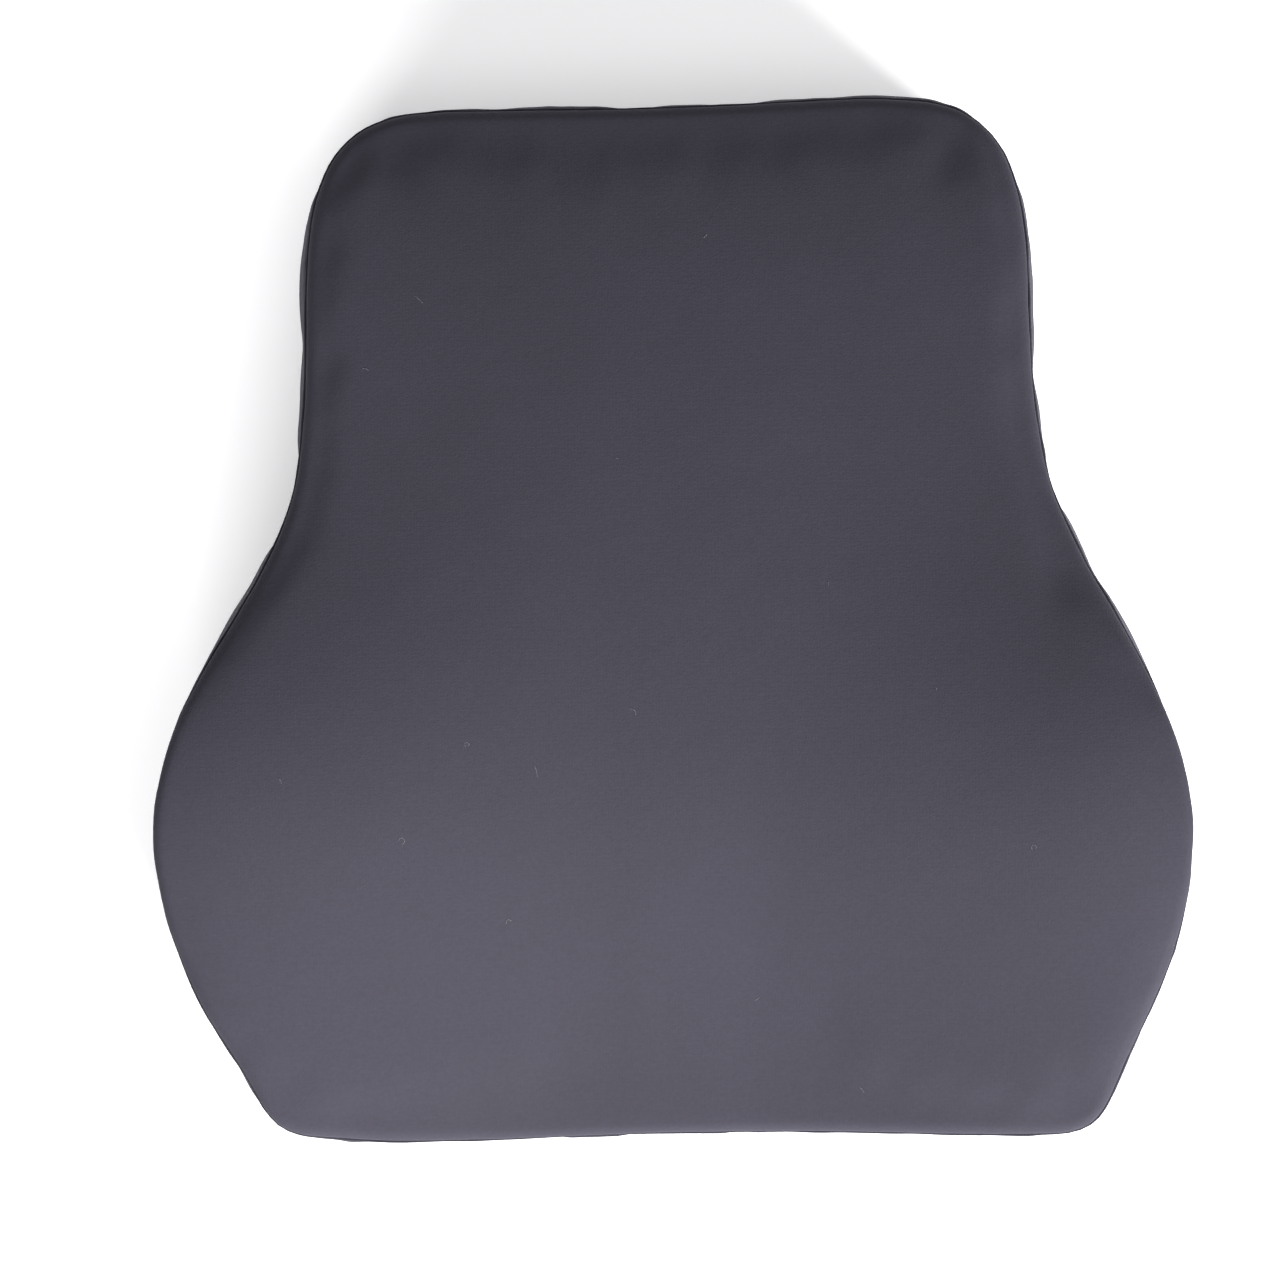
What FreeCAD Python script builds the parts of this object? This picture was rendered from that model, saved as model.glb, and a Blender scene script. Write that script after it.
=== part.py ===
import FreeCAD, Part
import math
import os

V = FreeCAD.Vector
os.makedirs("parts", exist_ok=True)

# ------------------------------------------------------------------ sizes, mm
# Lumbar support cushion lying on its back: +Z is the side the user leans on,
# +Y is the narrow upper end, X runs across. The back rests on z = 0.

# right half of the bell-shaped outline, from the straight lower edge to the top
LOWER_Y = -203.5          # straight lower edge
LOWER_HALF = 142.0        # half length of the straight lower edge
OUTLINE = [
    (150.5, -202.6), (158.2, -199.2), (163.6, -192.6), (167.6, -185.2), (172.6, -176.0),
    (180.0, -161.8), (187.3, -146.2), (193.0, -130.0), (197.1, -113.6), (199.4, -97.2),
    (199.9, -81.0), (198.0, -64.6), (194.0, -48.6), (188.4, -33.4), (181.8, -19.2),
    (174.9, -6.2), (168.1, 5.8), (161.9, 16.9), (156.7, 27.5), (152.2, 38.0),
    (148.7, 48.4), (146.3, 59.2), (144.7, 70.8), (143.5, 83.0), (142.8, 96.4),
    (142.5, 111.5), (142.4, 128.5), (141.6, 147.0), (138.9, 165.0), (132.6, 181.8),
    (121.6, 194.0), (106.8, 200.3), (90.0, 202.3), (72.0, 202.6), (50.0, 202.2),
    (25.0, 201.6), (0.0, 201.4),
]

# front surface: height of the centre line and how far the wings stand above it
CENTRE_Z = [(-210, 57.5), (-150, 75.0), (-100, 89.5), (-50, 98.0), (0, 99.5),
            (50, 96.5), (100, 90.5), (150, 81.0), (210, 64.0)]
WING_Z = [(-210, 22.0), (-150, 21.0), (-110, 19.8), (-70, 18.0), (-30, 12.0),
          (10, 3.5), (50, -2.0), (110, -2.0), (210, -1.0)]
WING_FROM, WING_TO = 19.0, 184.0
FRONT_R = 7.0             # rounding of the front edge

# back surface: two flat landings with a shallow arch between them, wings lifted
ARCH_H, ARCH_Y, ARCH_HALF = 21.0, -76.0, 98.0
LIFT_H, LIFT_FROM, LIFT_TO = 26.0, 105.0, 200.0
DIP = 0.8                 # the landings are trimmed flat by this much

COVER_T = 1.2             # knitted cover
LINER_T = 0.8             # thin inner bag
GAP = 0.3                 # between one layer and the next

# zip in the lower wall
ZIP_Z = 20.5
SLOT_HALF, SLOT_Z0, SLOT_Z1 = 136.0, 15.0, 26.0
TAPE_T, TAPE_HALF, TAPE_W = 0.6, 134.0, 12.0
TAPE_Y = LOWER_Y + COVER_T + 0.2
COIL_X0, COIL_X1, COIL_PITCH = -128.0, 110.0, 3.0
SLIDER_X = 112.0
SLIDER_L, SLIDER_W = 12.0, 8.4
TAB_L, TAB_W, TAB_T = 26.0, 7.0, 1.1

# strap, buckle and adjuster
STRAP_Y, STRAP_W, STRAP_T = -82.0, 25.0, 1.2
BAR_R, BAR_Z = 1.5, 5.3
FEMALE_BAR_X, MALE_BAR_X = 34.5, -14.5
BUCKLE_W = 32.0


# ------------------------------------------------------------------ helpers
def natural_spline(knots):
    """Cubic through (x, value) knots, straight at both ends."""
    xs = [float(k[0]) for k in knots]
    ys = [float(k[1]) for k in knots]
    n = len(xs)
    h = [xs[i + 1] - xs[i] for i in range(n - 1)]
    a = [0.0] * n
    b = [1.0] * n
    c = [0.0] * n
    d = [0.0] * n
    for i in range(1, n - 1):
        a[i] = h[i - 1]
        b[i] = 2 * (h[i - 1] + h[i])
        c[i] = h[i]
        d[i] = 6 * ((ys[i + 1] - ys[i]) / h[i] - (ys[i] - ys[i - 1]) / h[i - 1])
    for i in range(1, n):
        w = a[i] / b[i - 1]
        b[i] -= w * c[i - 1]
        d[i] -= w * d[i - 1]
    m = [0.0] * n
    m[-1] = d[-1] / b[-1]
    for i in range(n - 2, -1, -1):
        m[i] = (d[i] - c[i] * m[i + 1]) / b[i]

    def value(x):
        i = 0
        while i < n - 2 and x > xs[i + 1]:
            i += 1
        t = xs[i + 1] - x
        s = x - xs[i]
        return (m[i] * t ** 3 + m[i + 1] * s ** 3) / (6 * h[i]) + (
            ys[i] / h[i] - m[i] * h[i] / 6) * t + (ys[i + 1] / h[i] - m[i + 1] * h[i] / 6) * s

    return value


def smooth(t):
    t = max(0.0, min(1.0, t))
    return t * t * t * (t * (6 * t - 15) + 10)


centre_z = natural_spline(CENTRE_Z)
wing_z = natural_spline(WING_Z)


def front_z(x, y):
    w = (abs(x) - WING_FROM) / (WING_TO - WING_FROM)
    w = max(0.0, min(1.0, w))
    return centre_z(y) + w * w * (3 - 2 * w) * wing_z(y)


def back_z(x, y):
    u = abs(y - ARCH_Y) / ARCH_HALF
    arch = ARCH_H * math.cos(u * math.pi / 2) ** 2 if u < 1 else 0.0
    lift = LIFT_H * smooth((abs(x) - LIFT_FROM) / (LIFT_TO - LIFT_FROM))
    return (arch ** 3 + lift ** 3) ** (1.0 / 3) - DIP


def surface(height, shift):
    """A smooth face over the whole plan, at height(x, y) + shift."""
    n = 36 if height is front_z else 18
    xs = [-225 + 450 * i / n for i in range(n + 1)]
    ys = xs
    grid = [[V(x, y, height(x, y) + shift) for y in ys] for x in xs]
    s = Part.BSplineSurface()
    s.interpolate(grid)
    return s.toShape()


def over(height, shift):
    return surface(height, shift).extrude(V(0, 0, 320))


def under(height, shift):
    return surface(height, shift).extrude(V(0, 0, -320))


def box(x0, x1, y0, y1, z0, z1):
    return Part.makeBox(x1 - x0, y1 - y0, z1 - z0, V(x0, y0, z0))


# closed outline curve: along the straight lower edge, up the right side and round
STRAIGHT = [-LOWER_HALF + 2 * LOWER_HALF * i / 12 for i in range(13)]
loop = [(x, LOWER_Y) for x in STRAIGHT] + OUTLINE + [(-x, y) for x, y in reversed(OUTLINE[:-1])]
curve = Part.BSplineCurve()
curve.interpolate([V(x, y, 0) for x, y in loop], PeriodicFlag=True)


def plan(inset):
    """Closed plan wire, moved in by inset."""
    a, b = curve.FirstParameter, curve.LastParameter
    pts = []
    n = 160
    for i in range(n):
        t = a + (b - a) * i / n
        p = curve.value(t)
        d = curve.tangent(t)[0]
        pts.append(V(p.x - d.y * inset, p.y + d.x * inset, 0))
    c = Part.BSplineCurve()
    c.interpolate(pts, PeriodicFlag=True)
    return Part.Wire([c.toShape()])


def prism(inset, z0=-30.0, z1=170.0):
    f = Part.Face(plan(inset))
    f.translate(V(0, 0, z0))
    return f.extrude(V(0, 0, z1 - z0))


def one(shape):
    """The largest solid of a cut."""
    return max(shape.Solids, key=lambda s: s.Volume)


def envelope(inset, radius):
    """The cushion moved in by inset all round, front edge rounded."""
    s = prism(inset).cut(over(front_z, -inset))
    s = s.cut(under(back_z, inset + DIP))
    s = one(s)
    if radius > 0:
        edges = [e for e in s.Edges if e.BoundBox.ZMin > 40 and e.Length > 300]
        s = one(s.makeFillet(radius, edges))
    return s


def save(name, shape):
    if isinstance(shape, (list, tuple)):
        shape = Part.makeCompound(list(shape))
    shape.exportStep("parts/%s.step" % name)
    bb = shape.BoundBox
    print("%-20s solids %d valid %s vol %.1f cm3  x %.1f..%.1f y %.1f..%.1f z %.1f..%.1f" % (
        name, len(shape.Solids), shape.isValid(), shape.Volume / 1000,
        bb.XMin, bb.XMax, bb.YMin, bb.YMax, bb.ZMin, bb.ZMax))


# ------------------------------------------------------------------ soft layers
BAND_PARTS = 16


def rim(inset, height, shift):
    """Edges round the plan at height(x, y) + shift, in equal stretches."""
    a, b = curve.FirstParameter, curve.LastParameter
    pts = []
    n = 160
    for i in range(n):
        t = a + (b - a) * i / n
        p = curve.value(t)
        d = curve.tangent(t)[0]
        x, y = p.x - d.y * inset, p.y + d.x * inset
        pts.append(V(x, y, height(x, y) + shift))
    c = Part.BSplineCurve()
    c.interpolate(Points=pts, PeriodicFlag=True, Parameters=[i / n for i in range(n + 1)])
    out = []
    for k in range(BAND_PARTS):
        piece = c.copy()
        piece.segment(k / BAND_PARTS, (k + 1) / BAND_PARTS)
        out.append(piece.toShape())
    return out


def band(out, inn, low, low_shift, high, high_shift):
    """A closed wall round the plan between two insets and two height laws."""
    a, b = rim(out, low, low_shift), rim(out, high, high_shift)
    c, d = rim(inn, high, high_shift), rim(inn, low, low_shift)
    faces = []
    for p, q in ((a, b), (b, c), (c, d), (d, a)):
        faces += [Part.makeRuledSurface(e, f) for e, f in zip(p, q)]
    shell = Part.makeShell(faces)
    shell.sewShape()
    solid = Part.makeSolid(shell)
    if solid.Volume < 0:
        solid.reverse()
    return solid


def sheet(height, inset, low, high):
    """A sheet over the whole plan between height + low and height + high."""
    return surface(height, low).extrude(V(0, 0, high - low)).common(prism(inset))


def landing(height, inset, low, high, floor):
    return sheet(height, inset, low, high).cut(box(-260, 260, -260, 260, floor - 40, floor))


save("cover_front_panel", one(sheet(front_z, 0.0, -COVER_T, 0.0)))
save("cover_back_panel", one(landing(back_z, 0.0, 0.0, COVER_T + DIP - 0.1, 0.0)))
gusset = band(0.0, COVER_T, back_z, COVER_T + DIP + 0.7, front_z, -COVER_T - 0.2)
gusset = gusset.cut(box(-SLOT_HALF, SLOT_HALF, LOWER_Y - 2, LOWER_Y + 3, SLOT_Z0, SLOT_Z1))
save("cover_side_gusset", one(gusset))
save("front_seam_thread", band(-0.7, -0.1, front_z, -COVER_T - 0.6, front_z, -0.2))
save("back_seam_thread", band(-0.7, -0.1, back_z, DIP + 0.4, back_z, COVER_T + DIP + 1.0))

POCKET = (-139.0, 139.0, LOWER_Y - 5, LOWER_Y + 4.6, 3.6, 38.0)


def pocket(grow):
    x0, x1, y0, y1, z0, z1 = POCKET
    return box(x0 - grow, x1 + grow, y0, y1 + grow, z0 - grow, z1 + grow)


i1 = COVER_T + GAP
i2 = i1 + LINER_T
i3 = i2 + GAP
save("liner_front_panel", one(sheet(front_z, i1, -i2, -i1)))
save("liner_back_panel", one(landing(back_z, i1, i1 + DIP, i2 + DIP, 0.0)))
save("liner_side_band", one(band(i1, i2, back_z, i2 + DIP + 0.9, front_z, -i2 - 0.2).cut(pocket(0.0))))
save("foam_core", one(envelope(i3, FRONT_R).cut(pocket(GAP))))

label = box(66, 98, -150, -108, -5, 40).common(
    under(back_z, -0.15)).cut(under(back_z, -0.5))
save("care_label", one(label))

# ------------------------------------------------------------------ zip
save("zip_tape_upper", box(-TAPE_HALF, TAPE_HALF, TAPE_Y, TAPE_Y + TAPE_T, ZIP_Z + 0.4, ZIP_Z + TAPE_W))
save("zip_tape_lower", box(-TAPE_HALF, TAPE_HALF, TAPE_Y, TAPE_Y + TAPE_T, ZIP_Z - TAPE_W, ZIP_Z - 0.4))
COIL_Y1 = TAPE_Y - 0.1
COIL_Y0 = COIL_Y1 - 1.4


def coil(side, start):
    """One row of filament teeth on its spine; the two rows interlock."""
    z_in, z_out = 0.7, 2.9
    spine = box(COIL_X0, COIL_X1, COIL_Y0, COIL_Y1, z_out - 0.8, z_out)
    bits = []
    x = start
    while x + 1.2 < COIL_X1:
        bits.append(box(x, x + 1.2, COIL_Y0, COIL_Y1, -z_in, z_out - 0.4))
        x += COIL_PITCH
    s = spine.multiFuse(bits).removeSplitter()
    if side < 0:
        s = s.mirror(V(0, 0, 0), V(0, 0, 1))
    s.translate(V(0, 0, ZIP_Z))
    return one(s)


save("zip_coil_upper", coil(1, COIL_X0 + 0.15))
save("zip_coil_lower", coil(-1, COIL_X0 + 0.15 + COIL_PITCH / 2))

sx0, sx1 = SLIDER_X - SLIDER_L / 2, SLIDER_X + SLIDER_L / 2
PLATE_Y1 = COIL_Y0 - 0.3
PLATE_Y0 = PLATE_Y1 - 1.2
hw = SLIDER_W / 2
front_plate = box(sx0, sx1, PLATE_Y0, PLATE_Y1, ZIP_Z - hw, ZIP_Z + hw)
front_plate = front_plate.makeFillet(1.6, [e for e in front_plate.Edges if abs(e.BoundBox.YLength - 1.2) < 1e-6])
flange_a = box(sx0 + 1.6, sx1 - 1.6, PLATE_Y1 - 0.1, TAPE_Y - 0.3, ZIP_Z + hw - 0.9, ZIP_Z + hw)
flange_b = box(sx0 + 1.6, sx1 - 1.6, PLATE_Y1 - 0.1, TAPE_Y - 0.3, ZIP_Z - hw, ZIP_Z - hw + 0.9)
BACK_Y0 = TAPE_Y + TAPE_T + 0.3
back_plate = box(sx0, sx1, BACK_Y0, BACK_Y0 + 1.0, ZIP_Z - hw, ZIP_Z + hw)
back_plate = back_plate.makeFillet(1.6, [e for e in back_plate.Edges if abs(e.BoundBox.YLength - 1.0) < 1e-6])
post = box(SLIDER_X + 2.6, SLIDER_X + 4.6, PLATE_Y1 - 0.1, BACK_Y0 + 0.1, ZIP_Z - 0.35, ZIP_Z + 0.35)
PIN_Y = PLATE_Y0 - 0.75
bridge = box(SLIDER_X - 3.0, SLIDER_X + 3.0, PLATE_Y0 - 2.3, PLATE_Y0 + 0.1, ZIP_Z - 1.0, ZIP_Z + 1.0)
bridge = bridge.makeFillet(1.0, [e for e in bridge.Edges if e.BoundBox.YMax < PLATE_Y0 - 2.2 and e.BoundBox.ZLength > 1.5])
bridge = bridge.cut(box(SLIDER_X - 1.9, SLIDER_X + 1.9, PLATE_Y0 - 1.5, PLATE_Y0, ZIP_Z - 2, ZIP_Z + 2))
slider = front_plate.multiFuse([flange_a, flange_b, back_plate, post, bridge]).removeSplitter()
save("zip_slider", one(slider))

tab = box(SLIDER_X - TAB_L, SLIDER_X, PIN_Y - TAB_T / 2, PIN_Y + TAB_T / 2, ZIP_Z - TAB_W / 2, ZIP_Z + TAB_W / 2)
tab = tab.makeFillet(2.6, [e for e in tab.Edges if abs(e.BoundBox.YLength - TAB_T) < 1e-6 and e.BoundBox.XMax < SLIDER_X - TAB_L + 1])
tab = tab.cut(box(SLIDER_X - 6.2, SLIDER_X + 1, PIN_Y - 2, PIN_Y + 2, ZIP_Z - 1.35, ZIP_Z + 1.35))
tab = tab.cut(box(SLIDER_X - TAB_L + 4, SLIDER_X - TAB_L + 13, PIN_Y - 2, PIN_Y + 2, ZIP_Z - 1.5, ZIP_Z + 1.5))
pin = Part.makeCylinder(TAB_T / 2, TAB_W, V(SLIDER_X, PIN_Y, ZIP_Z - TAB_W / 2), V(0, 0, 1))
tab = tab.fuse(pin).removeSplitter()
save("zip_pull_tab", one(tab))

top_stops = [box(120.0, 123.0, COIL_Y0 - 0.2, TAPE_Y - 0.1, ZIP_Z + s * 1.9 - 1.2, ZIP_Z + s * 1.9 + 1.2) for s in (1, -1)]
save("zip_top_stops", top_stops)
save("zip_bottom_stop", box(-132.5, -128.6, COIL_Y0 - 0.3, TAPE_Y - 0.1, ZIP_Z - 3.1, ZIP_Z + 3.1))


# ------------------------------------------------------------------ strap
def catmull(points, step=1.0):
    """Dense smooth path through points (x, z), centripetal."""
    p = [(float(a), float(b)) for a, b in points]
    p = [(2 * p[0][0] - p[1][0], 2 * p[0][1] - p[1][1])] + p + [
        (2 * p[-1][0] - p[-2][0], 2 * p[-1][1] - p[-2][1])]
    out = []
    for i in range(1, len(p) - 2):
        p0, p1, p2, p3 = p[i - 1], p[i], p[i + 1], p[i + 2]
        t0 = 0.0
        t1 = t0 + math.hypot(p1[0] - p0[0], p1[1] - p0[1]) ** 0.5
        t2 = t1 + math.hypot(p2[0] - p1[0], p2[1] - p1[1]) ** 0.5
        t3 = t2 + math.hypot(p3[0] - p2[0], p3[1] - p2[1]) ** 0.5
        length = math.hypot(p2[0] - p1[0], p2[1] - p1[1])
        n = max(2, min(5, int(length / step)))
        for k in range(n):
            t = t1 + (t2 - t1) * k / n

            def mix(a, b, ta, tb):
                return tuple(((tb - t) * u + (t - ta) * v) / (tb - ta) for u, v in zip(a, b))

            a1, a2, a3 = mix(p0, p1, t0, t1), mix(p1, p2, t1, t2), mix(p2, p3, t2, t3)
            b1, b2 = mix(a1, a2, t0, t2), mix(a2, a3, t1, t3)
            out.append(mix(b1, b2, t1, t2))
    out.append(p[-2])
    return out


def ribbon(points, y0, y1, thick):
    """Webbing of one thickness following a path in the XZ plane."""
    path = catmull(points)
    n = len(path)
    left, rightside = [], []
    for i, (x, z) in enumerate(path):
        a = path[max(0, i - 1)]
        b = path[min(n - 1, i + 1)]
        dx, dz = b[0] - a[0], b[1] - a[1]
        d = math.hypot(dx, dz)
        nx, nz = -dz / d, dx / d
        left.append(V(x + nx * thick / 2, y0, z + nz * thick / 2))
        rightside.append(V(x - nx * thick / 2, y0, z - nz * thick / 2))
    pts = left + rightside[::-1]
    wire = Part.makePolygon(pts + [pts[0]])
    return Part.Face(wire).extrude(V(0, y1 - y0, 0))


def arc(cx, cz, r, a0, a1, n):
    return [(cx + r * math.cos(math.radians(a0 + (a1 - a0) * i / n)),
             cz + r * math.sin(math.radians(a0 + (a1 - a0) * i / n))) for i in range(n + 1)]


sy0, sy1 = STRAP_Y - STRAP_W / 2, STRAP_Y + STRAP_W / 2
wrap = BAR_R + 0.2 + STRAP_T / 2

SHORT_PATH = ([(196.6, 26.4), (182, 22.6), (165, 16.0), (148, 8.6), (134, 3.4), (124, 1.6), (112, 1.4),
               (95, 1.4), (75, 1.4), (60, 1.4), (50, 1.9), (42, 2.7)]
              + arc(FEMALE_BAR_X, BAR_Z, wrap, 270, 90, 8)
              + [(42, 6.9), (50, 4.4), (58, 3.0), (66, 2.8), (76, 2.8), (86, 2.8)])
strap_short = ribbon(SHORT_PATH, sy0, sy1, STRAP_T)
save("strap_short", one(strap_short))

LONG_PATH = ([(-196.6, 26.4), (-182, 22.6), (-165, 16.2), (-148, 9.4), (-134, 4.6), (-124, 2.8), (-112, 2.6),
              (-95, 2.6), (-80, 2.6), (-71, 2.6), (-68.0, 2.9), (-66.9, 4.3), (-66.3, 6.0), (-64.6, 7.4),
              (-62.0, 7.85), (-59.6, 7.85), (-57.6, 7.2), (-56.3, 5.5), (-55.2, 3.7), (-53.2, 2.75), (-50.5, 2.6),
              (-47.5, 2.8), (-36, 5.0), (-24, 6.9)]
             + arc(MALE_BAR_X, BAR_Z, wrap, 90, -90, 8)
             + [(-24, 2.2), (-36, 1.4), (-46, 1.2), (-53, 1.25), (-57, 2.0), (-60, 2.55)]
             + arc(-62.3, 4.5, 1.95, 270, 90, 6)
             + [(-61.4, 6.42), (-60.6, 6.4)])
strap_long = ribbon(LONG_PATH, sy0, sy1, STRAP_T)
save("strap_long", one(strap_long))

# box stitch on the short strap's folded end
tz0, tz1 = 2.8 + STRAP_T / 2 + 0.02, 2.8 + STRAP_T / 2 + 0.32
bx0, bx1, by = 64.0, 83.0, 9.5
lines = [box(bx0, bx1, STRAP_Y - by, STRAP_Y - by + 0.8, tz0, tz1),
         box(bx0, bx1, STRAP_Y + by - 0.8, STRAP_Y + by, tz0, tz1),
         box(bx0, bx0 + 0.8, STRAP_Y - by, STRAP_Y + by, tz0, tz1),
         box(bx1 - 0.8, bx1, STRAP_Y - by, STRAP_Y + by, tz0, tz1)]
diag = math.hypot(bx1 - bx0 - 0.8, 2 * by - 0.8)
turn = math.degrees(math.atan2(2 * by - 0.8, bx1 - bx0 - 0.8))
for s in (1, -1):
    d = box(-diag / 2, diag / 2, -0.4, 0.4, tz0, tz1)
    d.rotate(V(0, 0, 0), V(0, 0, 1), s * turn)
    d.translate(V((bx0 + bx1) / 2, STRAP_Y, 0))
    lines.append(d)
save("strap_box_stitch", one(lines[0].multiFuse(lines[1:]).removeSplitter()))

# three-bar adjuster on the long strap
AX0, AX1, AZ0, AZ1 = -72.0, -49.0, 3.4, 5.6
adj = box(AX0, AX1, STRAP_Y - 16, STRAP_Y + 16, AZ0, AZ1)
adj = adj.makeFillet(2.5, [e for e in adj.Edges if abs(e.BoundBox.ZLength - (AZ1 - AZ0)) < 1e-6])
for a, b in ((-68.5, -62.3), (-58.5, -52.5)):
    adj = adj.cut(box(a, b, STRAP_Y - 13.1, STRAP_Y + 13.1, 0, 10))
save("strap_adjuster", one(adj))


# ------------------------------------------------------------------ side-release buckle
def bar(x):
    return Part.makeCylinder(BAR_R, BUCKLE_W - 1, V(x, STRAP_Y - BUCKLE_W / 2 + 0.5, BAR_Z), V(0, 1, 0))


half = BUCKLE_W / 2
HZ0, HZ1 = 0.5, 10.1
house = box(-2.0, 24.0, STRAP_Y - half, STRAP_Y + half, HZ0, HZ1)
house = house.makeFillet(2.0, [e for e in house.Edges if e.BoundBox.XLength > 20])
house = house.makeFillet(1.2, [e for e in house.Edges if e.BoundBox.XMin > 23.9])
house = house.cut(box(-3.0, 21.5, STRAP_Y - 13.6, STRAP_Y + 13.6, 2.1, 8.5))
for s in (1, -1):
    y0, y1 = sorted((STRAP_Y + s * 12.0, STRAP_Y + s * 17.0))
    house = house.cut(box(6.0, 16.6, y0, y1, 2.1, 8.5))
cheeks = [box(23.0, 36.0, STRAP_Y - half, STRAP_Y - 13.0, 3.0, 7.6),
          box(23.0, 36.0, STRAP_Y + 13.0, STRAP_Y + half, 3.0, 7.6)]
female = house.multiFuse(cheeks + [bar(FEMALE_BAR_X)]).removeSplitter()
save("buckle_female", one(female))

base = box(-5.4, -2.5, STRAP_Y - half, STRAP_Y + half, 0.9, 9.7)
base = base.makeFillet(1.2, [e for e in base.Edges if e.BoundBox.YLength > 20])
mcheeks = [box(-16.0, -5.0, STRAP_Y - half, STRAP_Y - 13.0, 3.0, 7.6),
           box(-16.0, -5.0, STRAP_Y + 13.0, STRAP_Y + half, 3.0, 7.6)]
tongue = box(-3.0, 17.0, STRAP_Y - 2.2, STRAP_Y + 2.2, 3.2, 7.4)
tongue = tongue.makeFillet(1.6, [e for e in tongue.Edges if e.BoundBox.XMin > 16.9 and e.BoundBox.ZLength > 3])
rails = [box(-3.0, 3.0, STRAP_Y + s * 12.2 - 0.9, STRAP_Y + s * 12.2 + 0.9, 3.2, 7.4) for s in (1, -1)]
male = base.multiFuse(mcheeks + [bar(MALE_BAR_X), tongue]).removeSplitter()
save("buckle_male", one(male))


def latch(s):
    """Springy arm with its catch standing in the side window."""
    pts = [(-2.4, 7.6), (9.0, 8.4), (14.8, 9.4), (16.0, 10.8), (15.6, 12.2), (12.4, 14.6), (9.4, 15.5),
           (6.7, 15.6), (6.5, 12.6), (5.6, 11.2), (-2.4, 10.6)]
    w = [V(x, STRAP_Y + s * y, 2.7) for x, y in pts]
    return Part.Face(Part.makePolygon(w + [w[0]])).extrude(V(0, 0, 5.2))


save("buckle_latch_arms", [latch(1), latch(-1)])
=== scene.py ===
import math
import bpy
import numpy as np
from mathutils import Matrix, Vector, noise
from mathutils.bvhtree import BVHTree
from mathutils.kdtree import KDTree


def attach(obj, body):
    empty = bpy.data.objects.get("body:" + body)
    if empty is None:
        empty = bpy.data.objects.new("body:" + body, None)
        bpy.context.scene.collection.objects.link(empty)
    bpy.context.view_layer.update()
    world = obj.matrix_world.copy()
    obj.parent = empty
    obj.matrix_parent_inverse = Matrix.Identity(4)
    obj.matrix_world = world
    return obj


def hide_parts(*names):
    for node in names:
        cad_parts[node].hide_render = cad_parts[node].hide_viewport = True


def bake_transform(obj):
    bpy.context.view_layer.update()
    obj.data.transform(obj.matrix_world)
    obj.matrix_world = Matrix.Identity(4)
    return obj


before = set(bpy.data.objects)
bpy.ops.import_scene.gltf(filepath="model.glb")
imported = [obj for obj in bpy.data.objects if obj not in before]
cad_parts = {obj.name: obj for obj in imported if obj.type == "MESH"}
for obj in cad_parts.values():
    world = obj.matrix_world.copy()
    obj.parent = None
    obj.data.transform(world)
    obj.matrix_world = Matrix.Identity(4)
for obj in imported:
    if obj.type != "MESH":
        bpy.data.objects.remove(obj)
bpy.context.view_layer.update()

MM = 0.001
scene = bpy.context.scene

# ------------------------------------------------------------------ shape laws, mm
LOWER_Y = -203.5
LOWER_HALF = 142.0
OUTLINE = [
    (150.5, -202.6), (158.2, -199.2), (163.6, -192.6), (167.6, -185.2), (172.6, -176.0),
    (180.0, -161.8), (187.3, -146.2), (193.0, -130.0), (197.1, -113.6), (199.4, -97.2),
    (199.9, -81.0), (198.0, -64.6), (194.0, -48.6), (188.4, -33.4), (181.8, -19.2),
    (174.9, -6.2), (168.1, 5.8), (161.9, 16.9), (156.7, 27.5), (152.2, 38.0),
    (148.7, 48.4), (146.3, 59.2), (144.7, 70.8), (143.5, 83.0), (142.8, 96.4),
    (142.5, 111.5), (142.4, 128.5), (141.6, 147.0), (138.9, 165.0), (132.6, 181.8),
    (121.6, 194.0), (106.8, 200.3), (90.0, 202.3), (72.0, 202.6), (50.0, 202.2),
    (25.0, 201.6), (0.0, 201.4),
]
CENTRE_Z = [(-210, 57.5), (-150, 75.0), (-100, 89.5), (-50, 98.0), (0, 99.5),
            (50, 96.5), (100, 90.5), (150, 81.0), (210, 64.0)]
WING_Z = [(-210, 22.0), (-150, 21.0), (-110, 19.8), (-70, 18.0), (-30, 12.0),
          (10, 3.5), (50, -2.0), (110, -2.0), (210, -1.0)]
WING_FROM, WING_TO = 19.0, 184.0
ARCH_H, ARCH_Y, ARCH_HALF = 21.0, -76.0, 98.0
LIFT_H, LIFT_FROM, LIFT_TO = 26.0, 105.0, 200.0
# the sewn cover isn't quite even: how much further out the right side stands than the left, by angle
UNEVEN = [(-90, 0.0), (-80, 0.4), (-70, 0.6), (-60, 1.6), (-50, 6.4), (-40, 1.6), (-30, -0.7), (-20, -3.0),
          (-10, -3.0), (0, 0.0), (10, 1.1), (20, 0.6), (30, -0.7), (40, -1.0), (50, 0.2), (60, 2.8),
          (70, 3.1), (80, 1.4), (90, 0.0)]
FRONT_R, BACK_R = 5.5, 4.0
SLOT_HALF, SLOT_Z0, SLOT_Z1 = 133.0, 15.0, 26.0


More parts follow.
